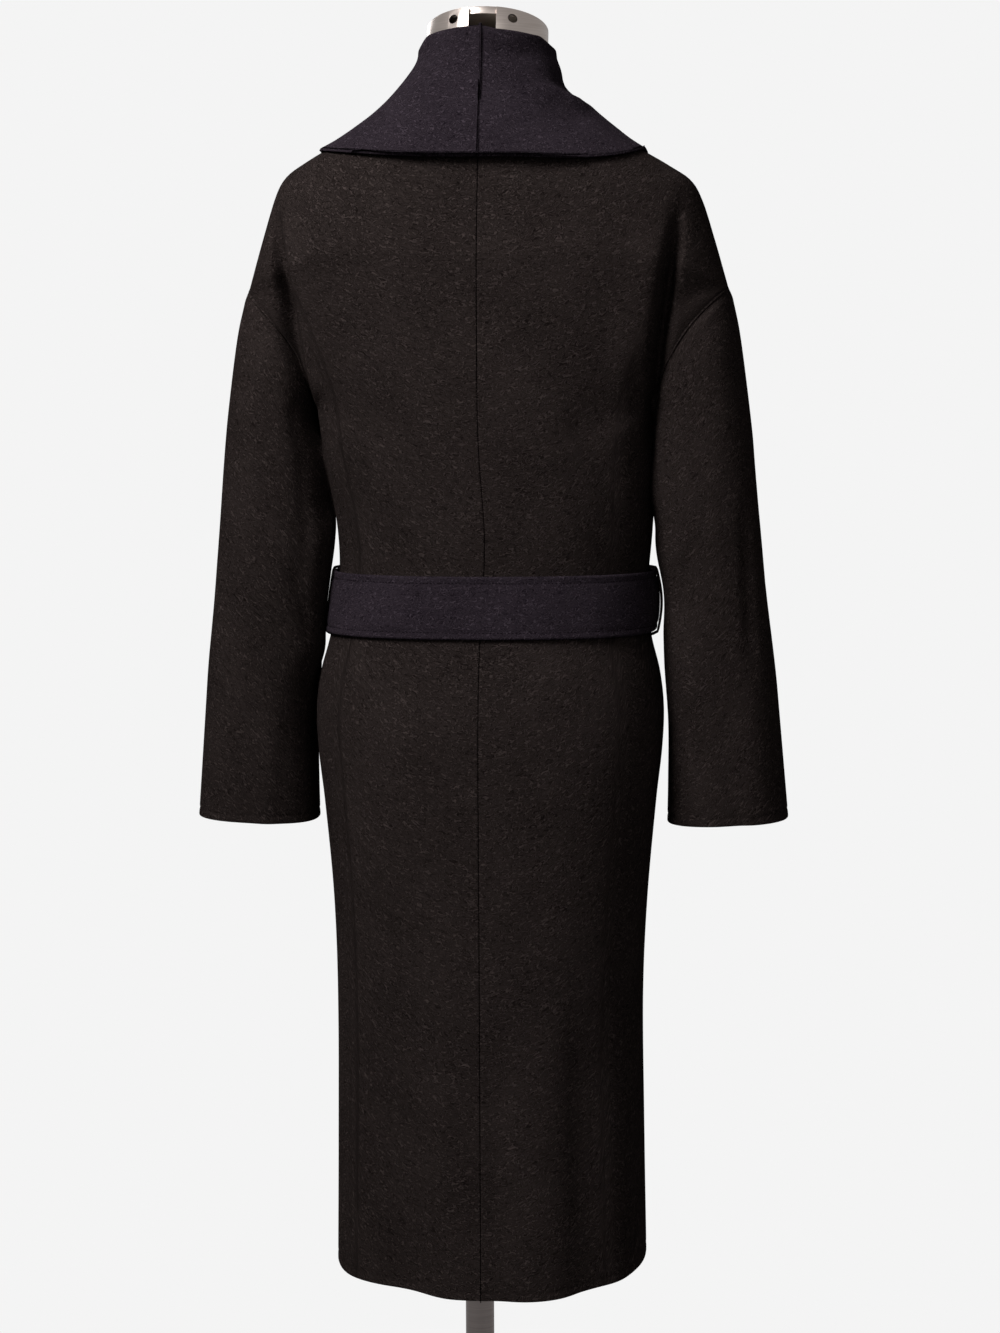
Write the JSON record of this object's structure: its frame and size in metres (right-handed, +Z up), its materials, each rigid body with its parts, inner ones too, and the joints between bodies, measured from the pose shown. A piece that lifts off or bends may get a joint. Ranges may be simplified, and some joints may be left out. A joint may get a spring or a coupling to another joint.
{
  "type": "maxi coat on a dress form",
  "caption": "Long belted wool coat with a broad shawl collar, dropped shoulders and wide sleeves, on a limbless dress form with a metal neck cap, a pole and a round base.",
  "frame": {"origin": "on the floor, under the middle of the stand's round base", "axes": "+Z up, the coat's front faces -Y, the wearer's left is +X"},
  "size_m": [0.5664, 0.37, 1.5194],
  "materials": {
    "wool_crepe": "warm brown-black wool with a fine crepe surface",
    "felted_wool": "dark aubergine felted wool with a short nap",
    "form_cover": "plain off-white stretch jersey",
    "brushed_nickel": "brushed nickel plate",
    "satin_steel": "satin steel"
  },
  "bodies": {
    "root": {"back_left": "wool_crepe", "back_right": "wool_crepe", "front_left": "wool_crepe", "front_right": "wool_crepe", "sleeve_left": "wool_crepe", "sleeve_right": "wool_crepe", "collar_left": "felted_wool", "collar_right": "felted_wool", "belt_band": "felted_wool", "belt_loop_left": "wool_crepe", "belt_loop_right": "wool_crepe", "belt_knot": "felted_wool", "belt_tail_under": "felted_wool", "belt_tail_over": "felted_wool", "form_torso": "form_cover", "neck_cap_band": "brushed_nickel", "neck_cap_plate": "brushed_nickel", "stand_base": "satin_steel", "stand_pole": "satin_steel"}
  },
  "joints": []
}
